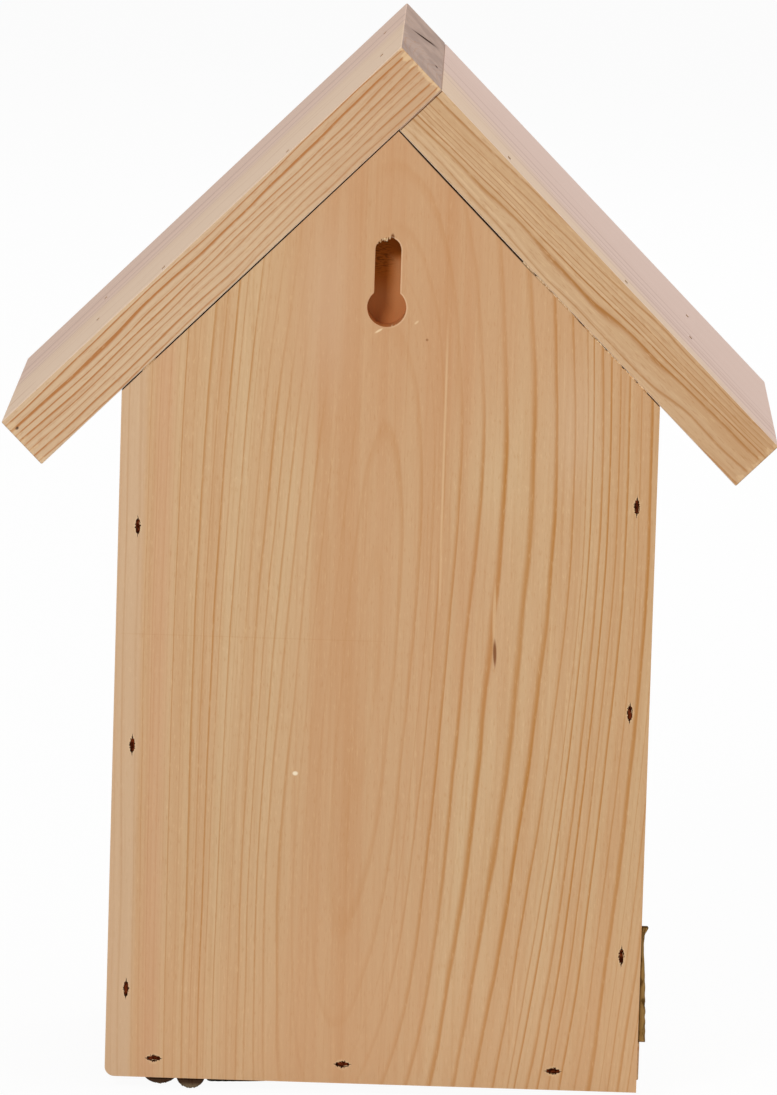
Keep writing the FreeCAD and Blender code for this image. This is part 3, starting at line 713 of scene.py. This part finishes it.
def cane(number, x, z, front, nest, material):
    """A cane about an axis along Y: a profile of radius and depth, from the closed back round the skin to
    the cut front and down the bore, carried round a circle. The skin swells at one joint and is a little
    oval, and the saw left the cut front a little out of square."""
    draw = np.random.default_rng(400 + number)
    back = BACK_THICKNESS
    joint_at = front - NEST_DEPTH - draw.uniform(1.0, 6.0)
    shift = draw.uniform(28.0, 60.0)
    skin_depth = np.concatenate([
        np.linspace(back + 0.6, front - 0.5, 26),
        joint_at + np.array([-1.6, -0.9, -0.4, 0.0, 0.5, 1.0, 1.8]),
        front - shift + np.array([-2.4, -1.2, -0.6, -0.2, 0.2, 0.7, 1.4, 2.6]),
    ])
    skin_depth = np.sort(np.clip(skin_depth, back + 0.6, front - 0.5))
    away = skin_depth - (front - shift)
    swell = 0.42 * np.exp(-((away / 1.3) ** 2)) - 0.3 * np.exp(-(((away - 1.5) / 0.45) ** 2))
    outer = TUBE_RADIUS - draw.uniform(0.45, 0.75)
    skin_radius = outer + swell - 0.1 * draw.random() * (front - skin_depth) / WALL_DEPTH
    wall = outer - nest
    lip_radius = np.array([outer - 0.25, nest + wall * 0.66, nest + wall * 0.33, nest + 0.3, nest])
    lip_depth = np.array([front, front - 0.05, front - 0.05, front, front - 0.35])
    bore_depth = np.linspace(front - 6.0, front - NEST_DEPTH + 0.8, 6)
    back_radius = [outer * 0.5, outer - 0.4]
    radius = np.concatenate([back_radius, skin_radius, lip_radius, np.full(6, nest), [nest * 0.6]])
    depth = np.concatenate([[back, back], skin_depth, lip_depth, bore_depth, [front - NEST_DEPTH + 0.3]])
    is_skin, is_joint, is_cut, is_bore = np.zeros((4, len(radius)))
    skin = slice(len(back_radius), len(back_radius) + len(skin_depth))
    is_skin[skin] = 1
    is_joint[skin] = np.exp(-(((away - 0.8) / 1.3) ** 2))
    is_cut[skin.stop:skin.stop + 4] = 1
    is_bore[-8:] = 1
    around = 44
    angle = np.linspace(0, 2 * math.pi, around, endpoint=False)
    phase = draw.uniform(0, math.pi)
    oval = 1 + 0.012 * np.cos(2 * (angle - phase)) + 0.006 * np.cos(3 * angle + phase)
    reach = radius[:, None] * np.where(is_bore[:, None] > 0, 1.0, oval[None, :])
    reach = np.minimum(reach, TUBE_RADIUS - 0.02)
    wobble = 0.12 * np.cos(angle + phase)[None, :] * is_cut[:, None]
    rings = np.stack([
        x + reach * np.cos(angle),
        -(depth[:, None] - np.abs(wobble)) + 0 * reach,
        z + reach * np.sin(angle),
    ], -1)
    ends = np.array([[x, -back, z], [x, -(front - NEST_DEPTH), z]])
    points = np.concatenate([rings.reshape(-1, 3), ends])
    piece = finished(f"cane_{number:02d}", points, tube_faces(len(radius), around), material, "bamboo",
                     f"bamboo_tube_{number:02d}")

    def spread(values, first, last):
        return np.concatenate([np.repeat(values, around), [first, last]])

    store(piece, skin=spread(is_skin, 0, 0), joint=spread(is_joint, 0, 0), bore=spread(is_bore, 0, 1),
          tone=np.full(len(points), draw.random() ** 2))


def canes(material):
    """Five rows of canes, each row in the hollows of the one below, with uneven front ends."""
    number = 0
    for row in range(5):
        count = 7 - row % 2
        for column in range(count):
            number += 1
            x = (column - (count - 1) / 2) * TUBE_PITCH
            z = TUBE_FLOOR + TUBE_RADIUS + row * TUBE_RISE
            front = BACK_THICKNESS + WALL_DEPTH - 2.5 - (3 * column + 2 * row) % 4 * 1.1
            cane(number, x, z, front, NEST_RADII[(column + 2 * row) % 3], material)


def log_bark(number, x, material):
    """Bark round a log: a sleeve whose inside is round and whose outside is cut by furrows, as a closed
    profile of radius and depth carried round the log. Furrow depth is a ripple of angle and depth, folded
    to sharp valleys."""
    around = 200
    angle = np.linspace(0, 2 * math.pi, around, endpoint=False)[None, :]
    depth = np.linspace(BACK_THICKNESS, LOG_FRONT - 0.3, 64)[:, None]
    valley = np.abs(ripple(angle * 2, depth, 70 + number, 9))
    coarse = 0.5 + 0.5 * ripple(angle, depth * 0.5, 90 + number, 4)
    outside = LOG_RADIUS - 0.05 - 0.95 * np.exp(-((valley / 0.22) ** 2)) - 0.45 * coarse.clip(0, 1)
    ragged = 0.5 * ripple(angle * 2, np.zeros((1, 1)), 110 + number, 5)
    end_radius = (outside[-1:] + LOG_CORE) / 2
    radii = [outside, end_radius, np.full((1, around), LOG_CORE), np.full((1, around), LOG_CORE)]
    depths = [
        np.broadcast_to(depth, outside.shape),
        np.full((1, around), LOG_FRONT - 0.2) - np.abs(ragged) * 0.4,
        np.full((1, around), LOG_FRONT - 0.4),
        np.full((1, around), BACK_THICKNESS),
    ]
    radius = np.concatenate(radii)
    depth = np.concatenate(depths)
    points = np.stack([x + radius * np.cos(angle), -depth, LOG_Z + radius * np.sin(angle)], -1).reshape(-1, 3)
    faces = quads(len(radius), around, wrap_rows=True)
    finished(f"log_bark_sleeve_{number}", points, faces, material, "bark", f"log_bark_{number}")


def carried(name, loop_x, loop_z, depth, material, node):
    """A closed outline in X and Z carried along Y: arrays of the outline at each depth. The outline's second
    half runs back beside its first, and strips between the two halves close both ends."""
    rows, columns = loop_x.shape
    points = np.stack([loop_x, np.broadcast_to(-depth[:, None], loop_x.shape), loop_z], -1)
    there = np.arange(columns // 2 - 1)
    back = columns - 1 - there
    strips = np.stack([there, there + 1, back - 1, back], -1)
    faces = quads(rows, columns) + strips[:, ::-1].tolist() + (strips + (rows - 1) * columns).tolist()
    finished(name, points.reshape(-1, 3), faces, material, "bark", node)


def wall_bark(material):
    """An upright strip on the left wall: thickness falls from the foot to a neck and flares at the lip,
    roughened by a ripple of height and depth. Its top falls away from the back."""
    height = np.linspace(0, 1, 60)
    thickness = np.interp(height, [0, 0.5, 0.86, 0.94, 1.0], [2.85, 2.2, 1.3, 1.5, 2.8])
    depth = np.linspace(STRIP_NEAR, STRIP_FAR, 16)
    foot = FLOOR_THICKNESS + 0.05
    rough = ripple(height[None, :] * 6.0, depth[:, None], 21, 8)
    worn = ripple(height[None, :] * 2.0, depth[:, None] * 0.6, 22, 5)
    outer = HALF_WIDTH + thickness[None, :] * (0.94 + 0.05 * rough)
    chipped = 0.5 * np.abs(ripple(np.zeros((1, 1)), depth[:, None], 23, 4))
    top = STRIP_TOP - 0.17 * (depth[:, None] - STRIP_NEAR) - chipped
    rise = foot + (top - foot) * height[None, :]
    inner = np.full_like(outer, HALF_WIDTH + 0.02) + 0.1 * np.abs(worn)
    loop_x = -np.concatenate([inner, outer[:, ::-1]], 1)
    loop_z = np.concatenate([rise, rise[:, ::-1]], 1)
    carried("wall_bark_strip", loop_x, loop_z, depth, material, "wall_bark")


def base_bark(number, right, width, drop, taper, material):
    """A ridge of bark under the floor: a slice of a round, wider than deep, with a rippled underside. With
    a taper of 1 it is a flake instead, which thins from its right edge to its left; in dark bark, that flake
    stands in for the shade under the floor's edge."""
    share = np.linspace(-1, 1, 36)
    depth = np.linspace(RIDGE_NEAR, RIDGE_FAR, 30)
    radius = width * width / (8 * drop) + drop / 2
    slice_sag = np.sqrt(radius * radius - (share * width / 2) ** 2) - (radius - drop)
    flake_sag = drop * np.sqrt((1 + share) / 2) * (1 - np.exp((share - 1) * 30))
    sag = slice_sag * (1 - taper) + flake_sag * taper
    rough = 0.93 + 0.07 * ripple(share[None, :] * 3.0, depth[:, None], 50 + number, 7)
    lower = -sag[None, :] * rough
    upper = np.zeros_like(lower) - 0.02
    x = right - width / 2 + share * width / 2 * 0.99
    loop_x = np.concatenate([np.broadcast_to(x, lower.shape), np.broadcast_to(x[::-1], lower.shape)], 1)
    loop_z = np.concatenate([lower, upper], 1)
    carried(f"base_bark_ridge_{number}", loop_x, loop_z, depth, material, f"base_bark_{number}")


def slivers(name, roots, tips, widths, material):
    """Torn fibres: for each, a thin four-sided spike from a root to a tip, its section a diamond that is
    widest a little before the middle. None stands out past the plane of the back."""
    roots = np.asarray(roots, float)
    tips = np.asarray(tips, float)
    widths = np.asarray(widths, float)[:, None]
    along = tips - roots
    along /= np.linalg.norm(along, axis=1, keepdims=True)
    side = np.cross(along, Y_AXIS)
    side /= np.linalg.norm(side, axis=1, keepdims=True)
    lift = np.cross(side, along)
    section = [side, lift * -0.5, -side, lift * 0.5]
    rings = []
    for share, size in ((0.0, 0.8), (0.45, 1.0), (0.8, 0.6)):
        middle = roots + (tips - roots) * share
        rings.append(np.stack([middle + part * widths * size / 2 for part in section], 1))
    each = np.concatenate([*rings, roots[:, None], tips[:, None]], 1)
    each[..., 1] = np.minimum(each[..., 1], -0.01)
    spike = tube_faces(len(rings), len(section))
    starts = range(0, each.shape[0] * each.shape[1], each.shape[1])
    faces = [[start + corner for corner in face] for start in starts for face in spike]
    finished(name, each.reshape(-1, 3), faces, material, "pine_board")


def keyhole_splinters(material):
    """Fibres that the cutter tore at the top of the slot and at the edge of the round entry."""
    draw = np.random.default_rng(8)
    count = 8
    angle = np.linspace(0.2, 0.52, count) * math.pi + draw.uniform(-0.09, 0.09, count)
    top = KEYHOLE_Z + KEYHOLE_RISE
    reach = KEYHOLE_SLOT + 0.25
    roots = np.stack([
        KEYHOLE_X + reach * np.cos(angle),
        draw.uniform(-0.3, -0.02, count),
        top + reach * np.sin(angle) + draw.uniform(0.0, 0.5, count),
    ], -1)
    fall = 0.8 + 1.8 * draw.random(count)
    tips = roots + np.stack([draw.uniform(-0.25, 0.25, count), draw.uniform(-0.5, 0.0, count), -fall], -1)
    widths = draw.uniform(0.5, 1.2, count)
    foot = np.array([0.0, 0.0, KEYHOLE_Z])
    roots = np.concatenate([roots, foot + np.array([[0.4, -0.05, -6.3], [-0.6, -0.05, -5.9]])])
    tips = np.concatenate([tips, foot + np.array([[0.2, -0.5, -5.1], [-0.9, -0.5, -5.0]])])
    widths = np.concatenate([widths, [0.4, 0.35]])
    slivers("keyhole_splinters", roots, tips, widths, material)


def staple_splinters(material):
    """Fine fibres torn along the sides of the staple slots."""
    draw = np.random.default_rng(12)
    side = STAPLE_WIRE / 2
    end = STAPLE_CROWN / 2
    starts = []
    stops = []
    widths = []
    for places, upright in ((SIDE_STAPLES, True), (FLOOR_STAPLES, False)):
        for x, z in places:
            for beside in draw.choice([-1.0, 1.0], 2) * side:
                start = np.array([beside * draw.uniform(1.3, 1.7), draw.uniform(-1.2, 1.2) * end])
                stop = np.array([beside * draw.uniform(0.4, 0.9), draw.uniform(-1.2, 1.2) * end])
                if not upright:
                    start = start[::-1]
                    stop = stop[::-1]
                starts.append((x + start[0], -0.08, z + start[1]))
                stops.append((x + stop[0], -0.06 - draw.uniform(0, 0.25), z + stop[1]))
                widths.append(draw.uniform(0.12, 0.3))
    slivers("staple_splinters", starts, stops, widths, material)


def joint_splinters(material):
    """Fibres lying in the open joint under the roof: many along the lower half of the short board, a few
    under the long one. Each runs down the slope from a place along it, a little to one side or the other of
    the joint's middle."""
    draw = np.random.default_rng(31)
    short_side = np.linspace(38.0, 76.0, 17)
    long_side = np.array([73.0, 74.5])
    count = len(short_side) + len(long_side)
    way = np.repeat([-1.0, 1.0], [len(short_side), len(long_side)])
    start = np.concatenate([short_side, long_side]) + draw.uniform(-1.5, 1.5, count)
    stop = start + np.minimum(draw.uniform(1.5, 4.5, count), HALF_WIDTH - 1.5 - start)
    stray = draw.uniform(-0.12, 0.12, (2, count))
    depth = draw.uniform(-0.3, -0.1, (2, count))
    middle = (ROOF_APEX + SLOPE_TOP) / 2
    roots = np.stack([way * start, depth[0], middle - start + stray[0]], -1)
    tips = np.stack([way * stop, depth[1], middle - stop + stray[1]], -1)
    slivers("joint_splinters", roots, tips, draw.uniform(0.3, 0.55, count), material)


# Dress the boards

SLOPE_LONG = (Y_AXIS, RIGHT_OUT, RIGHT_SLOPE)
SLOPE_SHORT = (FORWARD, LEFT_OUT, LEFT_SLOPE)
UPRIGHT = (FORWARD, X_AXIS, Z_AXIS)
LEVEL = (Y_AXIS, Z_AXIS, X_AXIS)
RISING = (Z_AXIS, Y_AXIS, X_AXIS)
RIDGE_CRACKS = (
    (-67.5, 101.0, 3.4, 7.0, 2.1),
    (-71.5, 100.0, 1.4, 5.0, 2.4),
    (-22.0, 95.0, 2.5, 0.8, 0.0),
)


def slope_ends(node):
    """The two ends of a roof board along its slope, from the corners of its box."""
    low, high = (np.array(corner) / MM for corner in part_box(node))
    inner = ROOF_THICKNESS * SLANT
    near = low[0] if node == "roof_board_long" else -high[0]
    far = high[0] if node == "roof_board_long" else -low[0]
    return (near + inner - high[2]) * SLANT, (far - inner - low[2]) * SLANT


finishes = {
    "back_board": back_board_pine(),
    "roof_board_long": roof_pine(
        "long_roof_pine", SLOPE_LONG, (-26.0, ROOF_MIDDLE - 92.0, 0.0),
        grain=Grain(2.15, 1.4, 1.3, 2.0, 0.9, 0.44, 0.5, 0.3), tones=(ROOF_PALE, ROOF_LINE, ROOF_WARM),
        tops=(ROOF_TOP, ROOF_TOP_PINK, 80.0, 0.0), tilt=0.0, crowd=(0.0, 1.0, 0.0),
        ends=slope_ends("roof_board_long"), tears=(1.0, 0.5), darker_span=(-150.0, -228.0), cracks=RIDGE_CRACKS,
        pinholes=((-62.0, 105.3),)),
    "roof_board_short": roof_pine(
        "short_roof_pine", SLOPE_SHORT, (-88.0, ROOF_MIDDLE - 40.0, 0.0),
        grain=Grain(2.4, 1.15, 1.6, 1.9, 1.6, 0.34, 0.4, 0.0), tones=(GOLD_PALE, GOLD_LINE, GOLD_WARM),
        tops=(SHORT_TOP, SHORT_TOP_PINK, -25.0, 0.4), tilt=-0.035, crowd=(102.5, 107.0, 9.0),
        ends=slope_ends("roof_board_short"), tears=(0.0, 0.5), darker_span=(-130.0, -60.0), cracks=(), pinholes=()),
    "wall_right": pine("right_wall_pine", UPRIGHT, (-64.0, 40.0, 0.0), Grain(3.0, 0.9)),
    "wall_left": pine("left_wall_pine", UPRIGHT, (-80.0, -112.0, 30.0), Grain(3.2, 0.9)),
    "floor_board": pine("floor_pine", LEVEL, (-58.0, -30.0, 0.0), Grain(2.8, 0.9)),
    "shelf_lower": pine("lower_shelf_pine", LEVEL, (-70.0, 90.0, 0.0), Grain(2.6, 0.9)),
    "shelf_upper": pine("upper_shelf_pine", LEVEL, (-60.0, 205.0, 40.0), Grain(3.0, 0.9)),
    "drilled_block": pine("block_pine", RISING, (180.0, -170.0, 0.0), Grain(3.4, 1.0)),
    "gable_block_low": pine("low_gable_pine", RISING, (258.0, -158.0, 60.0), Grain(3.0, 1.0)),
    "gable_block_top": pine("top_gable_pine", RISING, (232.0, -150.0, 20.0), Grain(2.6, 1.0)),
}
for number, log_x in enumerate(LOG_X, start=1):
    finishes[f"branch_log_{number}"] = branch_wood(f"branch_wood_{number}", log_x)
wire = staple_wire()
for group in ("back_wall", "back_floor", "wall_foot", "shelf", "roof", "ridge"):
    finishes[f"{group}_staples"] = wire
for node, material in finishes.items():
    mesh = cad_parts[node].data
    mesh.materials.clear()
    mesh.materials.append(material)

# Filling and bark

log_bark_finish = bark(
    "log_bark", colour(126, 98, 70), colour(48, 34, 24), colour(112, 104, 78), colour(118, 84, 54))
# The strip's bark is painted with shade beside the wall.
strip_finish = bark(
    "strip_bark", colour(150, 118, 66), colour(96, 70, 34), colour(118, 96, 44), colour(172, 138, 82),
    (0, -83.7, -82.5))
# The ridges' bark is painted with shade along their tops, under the floor.
ridge_finish = bark(
    "ridge_bark", colour(142, 122, 94), colour(100, 82, 60), colour(116, 102, 76), colour(136, 116, 90),
    (1, -3.0, -1.3))
# Near-black bark for the flake under the floor's edge, which stands in for the shade there.
flake_shade_finish = bark(
    "flake_shade_bark", colour(60, 48, 36), colour(24, 18, 14), colour(40, 42, 30), colour(40, 34, 26))
canes(bamboo())
for number, log_x in enumerate(LOG_X, start=1):
    log_bark(number, log_x, log_bark_finish)
wall_bark(strip_finish)
base_bark(1, right=70.2, width=9.7, drop=2.2, taper=0.0, material=ridge_finish)
base_bark(2, right=60.2, width=8.8, drop=3.5, taper=0.0, material=ridge_finish)
# The dark flake is painted shade under the floor's edge.
base_bark(3, right=51.1, width=20.0, drop=1.0, taper=1.0, material=flake_shade_finish)
torn = torn_wood()
keyhole_splinters(torn)
staple_splinters(torn)
joint_splinters(torn)

# Stage, light and camera


def make_floor():
    """A large pale floor under the part, nearly white to the camera but keeping the part's shadow."""
    half = 30.0
    low = float(cad_low.z) - 0.0002
    corners = [[-half, -half, low], [half, -half, low], [half, half, low], [-half, half, low]]
    mesh = bpy.data.meshes.new("floor")
    mesh.from_pydata(corners, [], [[0, 1, 2, 3]])
    floor = bpy.data.objects.new("floor", mesh)
    bpy.context.scene.collection.objects.link(floor)
    paint = Finish("floor_paint")
    paint.shader.inputs["Base Color"].default_value = (0.8, 0.8, 0.8, 1)
    paint.shader.inputs["Roughness"].default_value = 1.0
    paint.white_when_seen("ShaderNodeEmission", 0.95, "Material Output")
    mesh.materials.append(paint.material)


def make_world(strength):
    """Even light from all round, seen as white."""
    studio = Finish("studio", bpy.data.worlds, "Background")
    bpy.context.scene.world = studio.material
    studio.shader.inputs["Color"].default_value = (1, 1, 1, 1)
    studio.shader.inputs["Strength"].default_value = strength
    studio.white_when_seen("ShaderNodeBackground", 1.0, "World Output")


def make_lamp(name, place, size, power):
    """A square soft lamp that points at the part's middle."""
    lamp = bpy.data.lights.new(name, "AREA")
    lamp.size = size
    lamp.energy = power
    holder = bpy.data.objects.new(name, lamp)
    holder.location = place
    part_middle = Vector((0, -0.07, 0.16))
    holder.rotation_euler = (part_middle - Vector(place)).to_track_quat("-Z", "Y").to_euler()
    bpy.context.scene.collection.objects.link(holder)


def make_camera():
    """The photograph's view: from behind and a little above, far off, and turned slightly about its own
    axis."""
    turn = math.radians(180.537)
    lift = math.radians(8.900)
    roll = math.radians(1.731)
    back = Vector((math.sin(turn) * math.cos(lift), -math.cos(turn) * math.cos(lift), math.sin(lift)))
    level = Vector(Z_AXIS).cross(back).normalized()
    upright = back.cross(level)
    right = level * math.cos(roll) + upright * math.sin(roll)
    up = upright * math.cos(roll) - level * math.sin(roll)
    lens = bpy.data.cameras.new("camera")
    lens.lens = 284.83
    lens.sensor_width = 36.0
    lens.clip_end = 200.0
    camera = bpy.data.objects.new("camera", lens)
    aim = Vector((-0.00067, 0.0, 0.16860))
    distance = 2.6611
    place = aim + back * distance
    axes = Matrix((right, up, back)).transposed().to_4x4()
    camera.matrix_world = Matrix.Translation(place) @ axes
    bpy.context.scene.collection.objects.link(camera)
    bpy.context.scene.camera = camera


bpy.context.scene.view_settings.view_transform = "Standard"
make_floor()
make_world(0.37)
make_lamp("key_lamp", (0.95, 1.9, 1.4), size=0.6, power=25.5)
make_lamp("fill_lamp", (-1.6, 1.5, 0.5), size=1.6, power=12.5)
make_lamp("top_lamp", (-0.4, -0.2, 2.4), size=1.5, power=10.0)
make_lamp("front_lamp", (-0.9, -2.0, 1.4), size=1.6, power=24.0)
make_camera()
